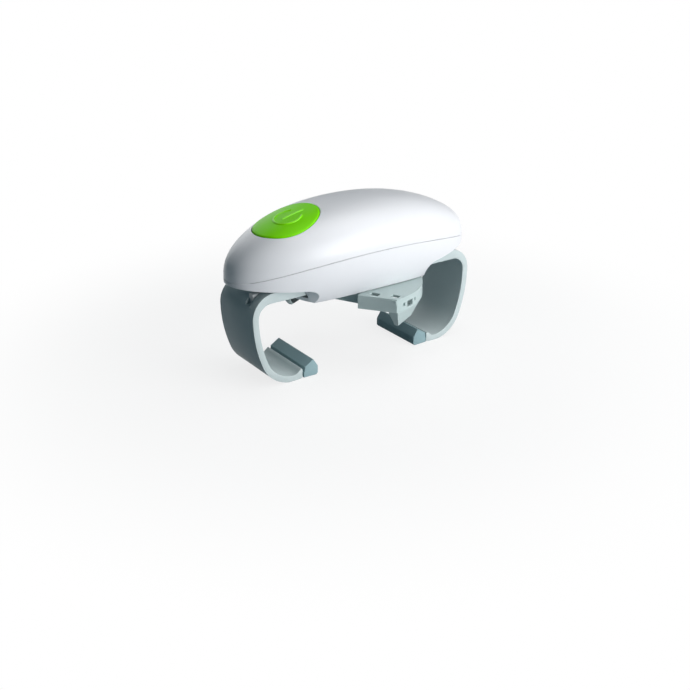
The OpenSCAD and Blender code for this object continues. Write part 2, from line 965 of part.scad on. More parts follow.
retainer_neck = 6.5;
retainer_height = 1.2;
retainer_z = base_top + running_gap;
retainer_top = retainer_z + retainer_height;
retainer_radius = 9.7;
hub_radius = 8;
jaw_gap = 0.7;
jaw_length = 36;
jaw_top = belly_z - jaw_gap;
jaw_bottom = jaw_top - jaw_plate;
skin_z = jaw_top - jaw_wall;
guide_top = skin_z - 0.3;
guide_bottom = jaw_bottom + 0.4;
guide_cover = 1.7;
guide_half_x = 27.4;
guide_half_y = 20.8;
channel_ceiling = guide_top - 2;
slide_half = 12.6;
guide_places = [[-18, 14.8], [-18, -14.8], [18, 14.8], [18, -14.8]];
jaw_close = 22;
rack_z = guide_bottom + guide_cover + 0.2;
jaw_rack_height = channel_ceiling - 0.2 - rack_z;
pinion_top = rack_z + jaw_rack_height;
pivot_radius = 2.2;

module turntable() {
  color("lightsteelblue")
  difference() {
    union() {
      translate([0, 0, disc_z]) cylinder(r = disc_radius, h = disc_height, $fn = 96);
      translate([0, 0, guide_top]) cylinder(r = hub_radius, h = disc_z - guide_top + 0.5);
      translate([0, 0, disc_top - 0.5])
        cylinder(r = neck_radius, h = retainer_z - disc_top + 0.5);
      translate([0, 0, retainer_z - 0.5]) cylinder(r = retainer_neck, h = retainer_height + 0.5);
    }
    cylinder(r = shaft_bore, h = 200);
  }
}

module retaining_ring() {
  color("silver")
  translate([0, 0, retainer_z]) tube(retainer_radius, retainer_neck, retainer_height);
}

module turntable_bush() {
  color("goldenrod")
  translate([0, 0, base_z]) tube(bush_radius, neck_radius + sleeve_gap, base_height);
}

module jaw_guide() {
  color("lightsteelblue")
  rotate([0, 0, jaw_heading])
    difference() {
      translate([0, 0, guide_bottom + guide_cover])
        rounded_plate(2 * guide_half_x, 2 * guide_half_y, guide_top - guide_bottom - guide_cover, 3);
      translate([-guide_half_x - 1, -slide_half, guide_bottom])
        cube([2 * guide_half_x + 2, 2 * slide_half, channel_ceiling - guide_bottom]);
      cylinder(r = shaft_bore, h = 200);
      for (p = guide_places)
        translate([p[0], p[1], guide_bottom]) cylinder(r = screw_core, h = 7, $fn = 24);
    }
}

module jaw_guide_cover() {
  color("lightsteelblue")
  rotate([0, 0, jaw_heading])
    union() {
      difference() {
        translate([0, 0, guide_bottom])
          rounded_plate(2 * guide_half_x, 2 * guide_half_y, guide_cover, 3);
        for (p = guide_places)
          translate([p[0], p[1], guide_bottom - 1]) cylinder(r = 2, h = 10, $fn = 24);
      }
      translate([0, 0, guide_bottom])
        cylinder(r = pivot_radius, h = pinion_top - 0.6 - guide_bottom);
    }
}

module guide_screws() {
  color("silver")
  rotate([0, 0, jaw_heading])
    for (p = guide_places)
      translate([p[0], p[1], guide_bottom + 0.2]) {
        cylinder(r = 1.95, h = guide_cover - 0.2, $fn = 24);
        cylinder(r = screw_core, h = 6, $fn = 24);
      }
}

module jaw_pinion() {
  color("ivory")
  rotate([0, 0, jaw_heading])
    translate([0, 0, rack_z])
      gear(jaw_module, jaw_pinion_teeth, 0, jaw_rack_height, pivot_radius + 0.08);
}

// Outline of the jaw plate, seen from above, taken in by an inset
module jaw_outline(inset, inner) {
  start = jaw_radius - jaw_length;
  slope = (jaw_half_width - jaw_nose_half) / (jaw_length - 6);
  intersection() {
    circle(r = jaw_radius - inset, $fn = 120);
    polygon([
      [inner, -jaw_half_width - (start - inner) * slope + inset],
      [jaw_radius, -jaw_half_width + (jaw_radius - start) * slope + inset],
      [jaw_radius, jaw_half_width - (jaw_radius - start) * slope - inset],
      [inner, jaw_half_width + (start - inner) * slope - inset]
    ]);
  }
}

// One lid jaw, facing along +X: a hollow sliding plate with a hooked wall hanging from it
module lid_jaw() {
  inner = jaw_radius - jaw_length;
  nose = lid_grip + grip_pad;
  difference() {
    union() {
      translate([0, 0, skin_z])
        linear_extrude(height = jaw_wall) jaw_outline(0, inner);
      translate([0, 0, jaw_bottom])
        linear_extrude(height = jaw_plate - 0.5)
          difference() {
            jaw_outline(0, inner);
            jaw_outline(jaw_wall, inner - 2);
          }
      intersection() {
        hook_side();
        hook_front();
        cylinder(r = jaw_radius - 0.2, h = 100, $fn = 120);
      }
      for (s = [-1, 1])
        translate([inner + 3, s * 22 - 0.6, jaw_bottom + 1.5])
          cube([nose - inner, 1.2, skin_z - jaw_bottom]);
    }
    translate([jaw_close, 0, skin_z - 1]) cylinder(r = hub_radius + 0.4, h = jaw_wall + 2);
    translate([nose, -slide_half, rack_z - 0.3])
      cube([20, slide_half - jaw_pitch + 1.4, jaw_rack_height + 0.6]);
    for (s = [-1, 1]) {
      translate([jaw_radius - 12.5, s * 17.5 - 2.6, jaw_top - 3]) cube([6.5, 5.2, 5]);
      translate([jaw_radius - 29, s * 21 - 2.8, jaw_top - 3]) cube([7.5, 5.6, 5]);
    }
  }
}

grip_pad = 1.6;
hook_tip = 3.6;
hook_stop = jaw_close + guide_half_x + 0.6;

// Side profile of the hanging wall, drafted on its outer face
module hook_side() {
  rotate([90, 0, 0])
    linear_extrude(height = 100, center = true)
      polygon([
        [lid_grip + grip_pad, jaw_bottom - jaw_drop],
        [lid_grip + grip_pad + hook_tip - 0.8, jaw_bottom - jaw_drop],
        [lid_grip + grip_pad + hook_tip, jaw_bottom - jaw_drop + 1.5],
        [jaw_radius - 1, jaw_top - 1],
        [hook_stop, jaw_top - 1],
        [hook_stop, jaw_bottom],
        [lid_grip + grip_pad, jaw_bottom]
      ]);
}

// Front view of the hanging wall, narrowing downwards
module hook_front() {
  low = jaw_bottom - jaw_drop;
  rotate([90, 0, 90])
    linear_extrude(height = 100)
      polygon([
        [-11.5, low], [11.5, low], [22.5, jaw_bottom - 2], [jaw_nose_half + 1, jaw_top],
        [-jaw_nose_half - 1, jaw_top], [-22.5, jaw_bottom - 2]
      ]);
}

// Toothed bar of a jaw, which ends at the hook's inner wall
module jaw_rack() {
  start = -6;
  toothed = jaw_close + 3;
  back = 12.2 - jaw_pitch;
  translate([0, 0, rack_z])
    linear_extrude(height = jaw_rack_height)
      union() {
        translate([0, jaw_pitch])
          mirror([0, 1])
            rack_outline(jaw_module, start, toothed, jaw_rack_offset, back);
        translate([toothed - 0.1, jaw_pitch + root_share * jaw_module])
          square([hook_stop - toothed + 0.1, back - root_share * jaw_module]);
      }
}

// Tooth place of a rack on the +Y side that meshes with a pinion whose phase is 0
jaw_rack_offset = PI * jaw_module * (90 * jaw_pinion_teeth / 360 + 0.5);
arm_rack_offset = PI * arm_module * (90 * arm_pinion_teeth / 360 + 0.5);

module jaw_grip() {
  rib = 2;
  low = jaw_bottom - jaw_drop + 1.2;
  high = jaw_bottom - 0.4;
  translate([lid_grip, 0, 0])
    rotate([90, 0, 90])
      difference() {
        linear_extrude(height = grip_pad)
          polygon([[-10.5, low], [10.5, low], [20.5, high], [-20.5, high]]);
        for (y = [-9 * rib:rib:9 * rib])
          translate([y - 0.35, low - 1, -1]) cube([0.7, high - low + 2, 1.6]);
      }
}

module near_lid_jaw() color("lightsteelblue") rotate([0, 0, jaw_heading]) lid_jaw();
module far_lid_jaw() color("lightsteelblue") rotate([0, 0, jaw_heading + 180]) lid_jaw();
module near_jaw_rack() color("ivory") rotate([0, 0, jaw_heading]) jaw_rack();
module far_jaw_rack() color("ivory") rotate([0, 0, jaw_heading + 180]) jaw_rack();
module near_jaw_grip() color("dimgray") rotate([0, 0, jaw_heading]) jaw_grip();
module far_jaw_grip() color("dimgray") rotate([0, 0, jaw_heading + 180]) jaw_grip();

// ---- jar arms ----

flange_height = 3.3;
flange_width = 3.5;
arm_top = strap_top + flange_height;
shoulder_z = arm_top - shoulder_radius;
foot_sink = 0.35;
side_angle = asin((shoulder_z - foot_radius + foot_sink) / (side_radius - foot_radius));
side_x = arm_reach - side_radius;
foot_x = side_x + (side_radius - foot_radius) * cos(side_angle);
foot_z = foot_radius - foot_sink;
foot_tip = jar_grip + pad_thickness + 1.4;
foot_angle = -90 - asin((foot_x - foot_tip) / foot_radius);
toe_height = 8.6;
toe_angle = -50;
strap_start = 54.5;
tongue_start = 60;
rack_start = 28;
rack_end = 9;
tongue_inner = retainer_radius + 0.4;
tongue_outer = 20;
rack_back = 5.5;
rack_strip = 1.8;
hook_x = arm_reach - 5.8;
hook_z = 65.8;
pocket_in = 8;
pocket_end = arm_reach - 14.2;

// The arm's side view, for an arm on the +X side
module arm_profile() {
  inside_r = strap_z - shoulder_z;
  polygon(concat(
    [[strap_start, arm_top]],
    arc(arm_reach - shoulder_radius, shoulder_z, shoulder_radius, 90, 0, 12),
    arc(side_x, shoulder_z, side_radius, -2, -side_angle, 8),
    arc(foot_x, foot_z, foot_radius, -side_angle - 6, foot_angle, 12),
    [[foot_tip, toe_height - 0.8], [foot_tip + 0.8, toe_height]],
    arc(foot_x, foot_z, foot_radius - arm_thickness, toe_angle, -side_angle - 6, 10),
    arc(side_x, shoulder_z, side_radius - arm_thickness, -side_angle, -2, 8),
    arc(arm_reach - arm_thickness - inside_r, shoulder_z, inside_r, 0, 90, 8),
    [[strap_start, strap_z]]
  ));
}

// The arm on the +X side. Its rack lies on the +Y side.
module arm() {
  difference() {
    union() {
      intersection() {
        rotate([90, 0, 0])
          linear_extrude(height = arm_width, center = true) arm_profile();
        translate([0, -through, 0]) cube([200, 2 * through, 200]);
      }
      translate([-rack_end, tongue_inner, tongue_z])
        cube([tongue_start + rack_end, tongue_outer - tongue_inner, strap_top - tongue_z]);
    }
    for (s = [-1, 1])
      translate([strap_start - 1, s > 0 ? pocket_in : flange_width - arm_width / 2, strap_top])
        cube([pocket_end - strap_start + 1, arm_width / 2 - flange_width - pocket_in, 20]);
    translate([strap_start - 1, arm_pitch - 0.4, strap_top])
      cube([arm_reach - strap_start, rack_back + 1.4, 20]);
    translate([hook_x - 5.4, arm_pitch - 0.4, hook_z]) cube([20, rack_back + 1.4, 20]);
    for (y = [-pad_peg_y, pad_peg_y])
      translate([foot_tip - 1, y, pad_peg_z]) rotate([0, 90, 0])
        cylinder(r = pad_peg + 0.1, h = 6.4);
  }
}

// Toothed bar of the arm on the +X side: teeth, a flat tail and a hook over the shoulder
module arm_rack() {
  start = -rack_end;
  y = arm_pitch;
  union() {
    translate([0, y, strap_top])
      mirror([0, 1, 0])
        linear_extrude(height = rack_height)
          rack_outline(arm_module, start, rack_start, arm_rack_offset, rack_back);
    translate([rack_start - 0.1, y + 0.2, strap_top])
      cube([hook_x - rack_start + 0.1, rack_back - 0.2, rack_strip]);
    translate([hook_x - 5.2, y + 0.2, hook_z + 0.2])
      cube([5.2, rack_back - 0.2, strap_top + rack_strip - hook_z - 0.2]);
  }
}

// ---- jar pads ----

pad_peg = 1.2;
pad_peg_y = 15;
pad_peg_z = 3;

// Rubber block in front of the arm's foot, with a chamfered top and two pegs
module jar_pad() {
  back = foot_tip - 0.9;
  union() {
    rotate([90, 0, 0])
      linear_extrude(height = arm_width, center = true)
        polygon([
          [jar_grip, 3], [jar_grip, pad_height - 8], [jar_grip + 4.2, pad_height - 1.6],
          [back, pad_height - 7], [back, 0.8], [jar_grip + 2.2, 0.4]
        ]);
    for (y = [-pad_peg_y, pad_peg_y])
      translate([back - 1, y, pad_peg_z]) rotate([0, 90, 0]) cylinder(r = pad_peg, h = 7);
  }
}

module left_arm() color("slategray") rotate([0, 0, 180]) arm();
module right_arm() color("slategray") arm();
module left_rack() color("gainsboro") rotate([0, 0, 180]) arm_rack();
module right_rack() color("gainsboro") arm_rack();
module left_pad() color("darkslategray") rotate([0, 0, 180]) jar_pad();
module right_pad() color("darkslategray") jar_pad();

module housing_screws() {
  color("silver")
  for (p = post_places)
    translate([p[0], p[1], screw_seat_z]) screw(2.5, post_top + 8 - screw_seat_z, 5);
}

upper_shell();
lower_shell();
start_button();
button_spring();
switch_body();
switch_plunger();
circuit_board();
board_screws();
battery_door();
battery_cells();
battery_tray();
battery_contacts();
motor();
motor_pinion();
first_gear();
second_gear();
gear_pins();
sun_gear();
planet_gear(0);  // planet_gear_1
planet_gear(1);  // planet_gear_2
planet_gear(2);  // planet_gear_3
planet_carrier();
ring_gear();
arm_pinion();
gearbox_base();
gearbox_plate();
gearbox_cover();
gearbox_screws();
turntable_bush();
turntable();
retaining_ring();
jaw_guide();
jaw_guide_cover();
guide_screws();
jaw_pinion();
near_lid_jaw();
far_lid_jaw();
near_jaw_rack();
far_jaw_rack();
near_jaw_grip();
far_jaw_grip();
left_arm();
right_arm();
left_rack();
right_rack();
left_pad();
right_pad();
housing_screws();
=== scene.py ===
import math

import bmesh
import bpy
from mathutils import Matrix, Vector


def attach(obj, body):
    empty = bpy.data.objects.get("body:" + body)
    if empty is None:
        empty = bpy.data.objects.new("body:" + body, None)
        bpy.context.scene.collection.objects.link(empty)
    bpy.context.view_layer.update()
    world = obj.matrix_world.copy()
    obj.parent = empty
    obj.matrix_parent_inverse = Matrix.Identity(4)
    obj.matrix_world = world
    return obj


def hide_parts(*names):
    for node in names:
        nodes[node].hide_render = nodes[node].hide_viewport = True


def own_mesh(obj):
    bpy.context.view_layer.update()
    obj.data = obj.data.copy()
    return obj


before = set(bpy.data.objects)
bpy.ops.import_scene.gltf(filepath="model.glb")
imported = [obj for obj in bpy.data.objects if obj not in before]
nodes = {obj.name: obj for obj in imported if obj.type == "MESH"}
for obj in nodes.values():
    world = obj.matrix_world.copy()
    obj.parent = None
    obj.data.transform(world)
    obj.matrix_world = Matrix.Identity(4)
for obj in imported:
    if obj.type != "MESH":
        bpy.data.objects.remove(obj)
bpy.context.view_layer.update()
print("frame loaded:", len(nodes), "nodes")

# Everything is drawn in millimetres and scaled to metres when a piece is finished.
mm = 0.001

meshing = {
    "weld": 0.0005, "poleWeld": 0.0001, "cadWeld": 0.002,  # points closer than this are merged
    "flatAngle": 1,  # degrees: faces that turn less than this become one
    "sharpAngle": 32,  # degrees: an edge that turns more than this is shaded sharp
}


# small tools that every piece uses

def hexColour(text):  # an sRGB hex value as a linear colour
    channels = [int(text[i:i + 2], 16) / 255 for i in (1, 3, 5)]
    linear = [c / 12.92 if c <= 0.04045 else ((c + 0.055) / 1.055) ** 2.4 for c in channels]
    return (*linear, 1.0)


def setNode(tree, node, settings, feeds):  # settings are inputs or options, feeds are links
    for key, value in settings.items():
        if key in node.inputs:
            node.inputs[key].default_value = value
        else:
            setattr(node, key, value)
    for key, socket in feeds.items():
        tree.links.new(socket, node.inputs[key])


def addNode(tree, kind, place, settings=None, feeds=None):
    made = tree.nodes.new(kind)
    made.location = place
    setNode(tree, made, settings or {}, feeds or {})
    return made.outputs


def newObject(name, bm):
    mesh = bpy.data.meshes.new(name)
    bm.to_mesh(mesh)
    bm.free()
    made = bpy.data.objects.new(name, mesh)
    bpy.context.scene.collection.objects.link(made)
    return made


def meshOf(obj):  # the object's mesh with its modifiers, as a bmesh; the object itself goes
    graph = bpy.context.evaluated_depsgraph_get()
    bm = bmesh.new()
    bm.from_mesh(obj.evaluated_get(graph).to_mesh())
    bpy.data.objects.remove(obj)
    return bm


def boolean(bm, tool, how="DIFFERENCE"):
    for part in (bm, tool):
        bmesh.ops.recalc_face_normals(part, faces=part.faces)
    target = newObject("target", bm)
    cutter = newObject("cutter", tool)
    change = target.modifiers.new("cut", "BOOLEAN")
    change.operation = how
    change.object = cutter
    change.solver = "EXACT"
    result = meshOf(target)
    bpy.data.objects.remove(cutter)
    return result


def join(bm, other):  # adds a second bmesh to the first
    mesh = bpy.data.meshes.new("join")
    other.to_mesh(mesh)
    other.free()
    bm.from_mesh(mesh)
    bpy.data.meshes.remove(mesh)
    return bm


def turn(bm, degrees, axis="Z"):
    bmesh.ops.rotate(bm, verts=bm.verts, cent=(0, 0, 0),
                     matrix=Matrix.Rotation(math.radians(degrees), 3, axis))
    return bm


def move(bm, x, y, z):
    bmesh.ops.translate(bm, vec=(x, y, z), verts=bm.verts)
    return bm


def pulledVerts(result):  # the points that an extrusion has made
    return [v for v in result["geom"] if isinstance(v, bmesh.types.BMVert)]


def boxMesh(low, high):
    bm = bmesh.new()
    bmesh.ops.create_cube(bm, size=1.0)
    size = [b - a for a, b in zip(low, high)]
    bmesh.ops.scale(bm, vec=size, verts=bm.verts)
    return move(bm, *[(a + b) / 2 for a, b in zip(low, high)])


def rodMesh(radius, low, high, at=(0, 0), steps=64):
    bm = bmesh.new()
    bmesh.ops.create_cone(bm, cap_ends=True, segments=steps, radius1=radius, radius2=radius,
                          depth=high - low)
    return move(bm, *at, (low + high) / 2)


def lathe(profile, steps=96):  # profile points are (radius, z), closed on the axis by merging
    bm = bmesh.new()
    verts = [bm.verts.new((r, 0, z)) for r, z in profile]
    edges = [bm.edges.new(pair) for pair in zip(verts, verts[1:])]
    bmesh.ops.spin(bm, geom=verts + edges, cent=(0, 0, 0), axis=(0, 0, 1), angle=2 * math.pi,
                   steps=steps, use_merge=True)
    bmesh.ops.remove_doubles(bm, verts=bm.verts, dist=meshing["poleWeld"])
    bmesh.ops.recalc_face_normals(bm, faces=bm.faces)
    return bm


def arcPoints(cx, cz, radius, start, end, steps):  # angles in degrees
    turns = [math.radians(start + (end - start) * i / steps) for i in range(steps + 1)]
    return [(cx + radius * math.cos(a), cz + radius * math.sin(a)) for a in turns]


def prism(outline, low, high, plane="XZ"):  # a flat outline pulled from low to high
    bm = bmesh.new()
    if plane == "XZ":
        verts = [bm.verts.new((a, low, b)) for a, b in outline]
        push = (0, high - low, 0)
    else:
        verts = [bm.verts.new((a, b, low)) for a, b in outline]
        push = (0, 0, high - low)
    face = bm.faces.new(verts)
    pulled = bmesh.ops.extrude_face_region(bm, geom=[face])
    bmesh.ops.translate(bm, vec=push, verts=pulledVerts(pulled))
    bmesh.ops.recalc_face_normals(bm, faces=bm.faces)
    return bm


def roundEdges(bm, width, segments, above):  # edges that turn more than above, in degrees
    sharp = [e for e in bm.edges
             if len(e.link_faces) == 2 and e.calc_face_angle(0) > math.radians(above)]
    bmesh.ops.bevel(bm, geom=sharp, offset=width, offset_type="OFFSET", segments=segments,
                    profile=0.5, affect="EDGES", clamp_overlap=True, material=-1)
    return bm


def simplify(bm):  # merges doubles and the flat triangles of one face
    bmesh.ops.remove_doubles(bm, verts=bm.verts, dist=meshing["cadWeld"])
    bmesh.ops.dissolve_limit(bm, angle_limit=math.radians(meshing["flatAngle"]), verts=bm.verts,
                             edges=bm.edges)
    return bm


def cadCopy(node):  # a merged copy of a CAD node, in millimetres
    bm = bmesh.new()
    bm.from_mesh(nodes[node].data)
    bmesh.ops.scale(bm, vec=(1 / mm,) * 3, verts=bm.verts)
    return simplify(bm)


def finishPiece(name, bm, material, body, hidden=()):
    bmesh.ops.remove_doubles(bm, verts=bm.verts, dist=meshing["weld"])
    bmesh.ops.recalc_face_normals(bm, faces=bm.faces)
    bmesh.ops.scale(bm, vec=(mm, mm, mm), verts=bm.verts)
    limit = math.radians(meshing["sharpAngle"])
    for face in bm.faces:
        face.smooth = True
    for edge in bm.edges:
        edge.smooth = len(edge.link_faces) == 2 and edge.calc_face_angle(0) < limit
    piece = newObject(name, bm)
    piece.data.materials.append(material)
    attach(piece, body)
    if hidden:
        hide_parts(*hidden)
    return piece


# Materials. A noise scale counts spots per metre: a drift of 28 is one each 36 mm, and a grain of
# 1400 one each 0.7 mm, which is coarser than a real mould's texture, so that it shows.

plastic = {
    "drift": 28.0, "driftRange": (0.35, 0.70), "glossRange": (0.86, 1.14), "bumpDepth": 0.05 * mm,
    "ior": 1.5, "coatRoughness": 0.12,
}


def mouldedPlastic(name, colour, tint, roughness, grain, grainDepth, coat=0.0, cloud=0.12,
                   shine=0.5):
    # Colour drifts slightly over tens of millimetres, and the grain is the mould's texture.
    made = bpy.data.materials.new(name)
    made.use_nodes = True
    tree = made.node_tree
    place = addNode(tree, "ShaderNodeTexCoord", (-1100, 0))["Object"]
    drift = addNode(tree, "ShaderNodeTexNoise", (-880, 200),
                    {"Scale": plastic["drift"], "Detail": 3.0, "Roughness": 0.55},
                    {"Vector": place})
    spread = addNode(tree, "ShaderNodeMapRange", (-660, 200),
                     {"From Min": plastic["driftRange"][0], "From Max": plastic["driftRange"][1],
                      "To Max": cloud}, {"Value": drift["Fac"]})
    blend = addNode(tree, "ShaderNodeMixRGB", (-440, 200),
                    {"Color1": hexColour(colour), "Color2": hexColour(tint)},
                    {"Fac": spread["Result"]})
    fine = addNode(tree, "ShaderNodeTexNoise", (-880, -120),
                   {"Scale": grain, "Detail": 4.0, "Roughness": 0.6}, {"Vector": place})
    gloss = addNode(tree, "ShaderNodeMapRange", (-440, -40),
                    {"To Min": roughness * plastic["glossRange"][0],
                     "To Max": roughness * plastic["glossRange"][1]}, {"Value": fine["Fac"]})
    bump = addNode(tree, "ShaderNodeBump", (-220, -260),
                   {"Strength": grainDepth, "Distance": plastic["bumpDepth"]},
                   {"Height": fine["Fac"]})
    setNode(tree, tree.nodes["Principled BSDF"],
            {"IOR": plastic["ior"], "Specular IOR Level": shine, "Coat Weight": coat,
             "Coat Roughness": plastic["coatRoughness"]},
            {"Base Color": blend["Color"], "Roughness": gloss["Result"],
             "Normal": bump["Normal"]})
    return made


metal = {"glossRange": (0.7, 1.3), "bump": 0.25, "bumpDepth": 0.03 * mm}


def bareMetal(name, colour, roughness, stretch, grain=300.0):
    # Drawing marks run along one axis, so the highlight breaks into fine streaks.
    made = bpy.data.materials.new(name)
    made.use_nodes = True
    tree = made.node_tree
    place = addNode(tree, "ShaderNodeTexCoord", (-1100, 0))["Object"]
    stretched = addNode(tree, "ShaderNodeMapping", (-900, 0), {"Scale": stretch},
                        {"Vector": place})["Vector"]
    marks = addNode(tree, "ShaderNodeTexNoise", (-680, 0),
                    {"Scale": grain, "Detail": 5.0, "Roughness": 0.65}, {"Vector": stretched})
    gloss = addNode(tree, "ShaderNodeMapRange", (-440, 0),
                    {"To Min": roughness * metal["glossRange"][0],
                     "To Max": roughness * metal["glossRange"][1]}, {"Value": marks["Fac"]})
    bump = addNode(tree, "ShaderNodeBump", (-220, -260),
                   {"Strength": metal["bump"], "Distance": metal["bumpDepth"]},
                   {"Height": marks["Fac"]})
    setNode(tree, tree.nodes["Principled BSDF"],
            {"Base Color": hexColour(colour), "Metallic": 1.0},
            {"Roughness": gloss["Result"], "Normal": bump["Normal"]})
    return made


# After the name: colour, the tint that it drifts to, roughness, grain and depth of the grain.
# Moulded ABS is smooth, with a soft satin highlight.
whiteAbs = mouldedPlastic("white_abs", "#F1F1F4", "#E8EAEE", 0.40, 1400, 0.10, coat=0.10)
greenAbs = mouldedPlastic("lime_abs", "#86F000", "#7AE400", 0.44, 1500, 0.16, shine=0.15)
symbolAbs = mouldedPlastic("lime_abs_raised", "#92F500", "#86EA00", 0.34, 1500, 0.10, shine=0.4)
chassisAbs = mouldedPlastic("chassis_abs", "#B9BCBE", "#A9ADB0", 0.50, 1000, 0.40)
# Moulded nylon is matter, and its texture breaks the highlight up.
armNylon = mouldedPlastic("grey_nylon", "#CBD6D6", "#BECACB", 0.48, 1100, 0.45, shine=0.2)
jawNylon = mouldedPlastic("pale_nylon", "#C0CFCE", "#B2C3C3", 0.45, 1100, 0.40, shine=0.3)
switchNylon = mouldedPlastic("black_nylon", "#1D1E20", "#28292C", 0.45, 1200, 0.30)
# Moulded acetal looks waxy and a little glossier.
rackAcetal = mouldedPlastic("grey_acetal", "#C9CDCE", "#BBC0C2", 0.38, 1200, 0.25)
gearAcetal = mouldedPlastic("natural_acetal", "#E9E6DA", "#DEDAC9", 0.36, 1200, 0.20)
# Moulded rubber is dull, rough and slightly clouded.
padRubber = mouldedPlastic("jar_pad_rubber", "#98B3B8", "#8AA6AC", 0.62, 900, 0.80, cloud=0.5,
                           shine=0.15)
gripRubber = mouldedPlastic("lid_grip_rubber", "#4E5A5C", "#434E50", 0.75, 900, 0.80, cloud=0.5)
# A lacquered board and a shrunk film both have a clear, shiny skin.
boardLaminate = mouldedPlastic("solder_resist", "#1D6B3A", "#17592F", 0.32, 700, 0.30, coat=0.3)
cellFilm = mouldedPlastic("cell_film", "#39404A", "#2F353E", 0.28, 800, 0.10, coat=0.4)
# Plated steel, drawn wire and turned brass keep the marks of their tools.
steel = bareMetal("zinc_steel", "#C4C6C8", 0.28, (1, 1, 12))
springSteel = bareMetal("spring_wire", "#CFD0D2", 0.18, (1, 1, 4), 500.0)
brass = bareMetal("turned_brass", "#D0A85A", 0.25, (1, 1, 20))
print("materials made")


# the body

body = {
    "halfLength": 109.97, "halfWidth": 45.0, "partingEnd": 82.5, "partingCrown": 15.7,
    "rise": 32.0, "bellyRound": 45.0, "bellyZ": 62.2, "bellyRadius": 61.0, "sweep": 12.0,
    "planPower": 2.08, "sectionPower": 2.46, "lengthPower": 2.69,
    "wall": 2.2, "seam": 0.34, "along": 132, "around": 112,
    "skirt": 6,  # how far the hollow runs on past the parting line
}


def partingZ(x):
    return body["partingEnd"] + body["partingCrown"] * (1 - (x / body["halfLength"]) ** 2)


def falloff(u, power):
    return max(0.0, 1 - abs(u) ** power) ** (1 / power)


def outlineHalf(x, inset=0.0):
    reach = body["halfLength"] - inset
    return (body["halfWidth"] - inset) * falloff(x / reach, body["planPower"])


def domeZ(x, y):  # height of the upper shell's skin over a point of the plan
    ridge = body["rise"] * falloff(x / body["halfLength"], body["lengthPower"])
    return partingZ(x) + ridge * falloff(y / max(outlineHalf(x), 0.01), body["sectionPower"])


def bodyHalf(side, inset=0.0, shift=0.0):  # a ball, halved and drawn out to the body's form
    rise = body["rise"] if side > 0 else body["bellyRound"]
    reach = body["halfLength"] - inset
    power = 2 / body["sectionPower"]
    bm = bmesh.new()
    bmesh.ops.create_uvsphere(bm, u_segments=body["around"], v_segments=body["along"], radius=1.0)
    turn(bm, 90, "Y")
    bmesh.ops.bisect_plane(bm, geom=bm.verts[:] + bm.edges[:] + bm.faces[:], dist=0.00001,
                           plane_co=(0, 0, 0), plane_no=(0, 0, side), clear_inner=True)
    for vert in bm.verts:
        sx, sy, sz = vert.co
        around = math.hypot(sy, sz)
        x = reach * max(-1, min(1, sx))
        half = outlineHalf(x, inset)
        height = (rise - inset) * falloff(x / reach, body["lengthPower"])
        cosine, sine = (sy / around, abs(sz) / around) if around > 1e-6 else (0, 0)
        y = math.copysign(half * abs(cosine) ** power, cosine)
        vert.co = (x, y, partingZ(x) + side * height * sine ** power + shift)
    return bm


def openRim(bm):
    return [e for e in bm.edges if len(e.link_faces) == 1]


def closeRim(bm):
    bmesh.ops.holes_fill(bm, edges=openRim(bm), sides=0)
    return bm


def bodyHollow(side, shift):  # one wall smaller, with its rim pulled on past the parting line
    bm = bodyHalf(side, body["wall"], shift)
    pulled = bmesh.ops.extrude_edge_only(bm, edges=openRim(bm))
    bmesh.ops.translate(bm, vec=(0, 0, -side * body["skirt"]), verts=pulledVerts(pulled))
    return closeRim(bm)


button = {
    "centre": -58.0, "length": 52.0, "width": 50.0, "gap": 0.6, "proud": 0.7,
    "edge": 0.9, "edgeStep": 18, "depth": 3.6, "rings": 18, "travel": 1.8,
    "cutLow": 100, "cutHigh": 140,  # the opening's cut runs right through the dome
    "symbolCentre": (-57.5, -2.0), "symbolRadius": 10.8, "symbolWidth": 0.9,
    "symbolRise": 0.75, "symbolOpening": 42, "symbolStep": 6,  # degrees
    "barStart": -5.0, "barLength": 18.5, "barSteps": 10,
}

door = {
    "half": 28.0, "low": 3.2, "height": 17.0, "gap": 0.35,
    "cutFrom": 20, "cutTo": 60,  # from inside the housing to behind it
    "notch": 6.2, "notchHalf": 7, "notchOut": 4, "notchDown": 2.5,
}


def buttonTool():
    bm = rodMesh(0.5, button["cutLow"], button["cutHigh"], steps=128)
    size = (button["length"] + 2 * button["gap"], button["width"] + 2 * button["gap"], 1)
    bmesh.ops.scale(bm, vec=size, verts=bm.verts)
    return move(bm, button["centre"], 0, 0)


def doorTool(gap):
    low = partingZ(0) + door["low"]
    return boxMesh((-door["half"] - gap, door["cutFrom"], low - gap),
                   (door["half"] + gap, door["cutTo"], low + door["height"] + gap))


def buildUpperShell():
    shift = body["seam"] / 2
    bm = boolean(closeRim(bodyHalf(1, 0.0, shift)), bodyHollow(1, shift))
    bm = boolean(bm, join(buttonTool(), doorTool(door["gap"])))
    finishPiece("upper_shell_skin", bm, whiteAbs, "housing", ["upper_shell"])


def buildBatteryDoor():
    bm = boolean(closeRim(bodyHalf(1)), bodyHollow(1, 0.0))
    bm = boolean(bm, doorTool(0), "INTERSECT")
    top = partingZ(0) + door["low"] + door["height"]
    notch = turn(rodMesh(door["notch"], -door["notchHalf"], door["notchHalf"], steps=48), 90, "Y")
    move(notch, 0, body["halfWidth"] + door["notchOut"], top - door["notchDown"])
    bm = boolean(bm, notch)
    finishPiece("battery_door_skin", bm, whiteAbs, "door", ["battery_door"])


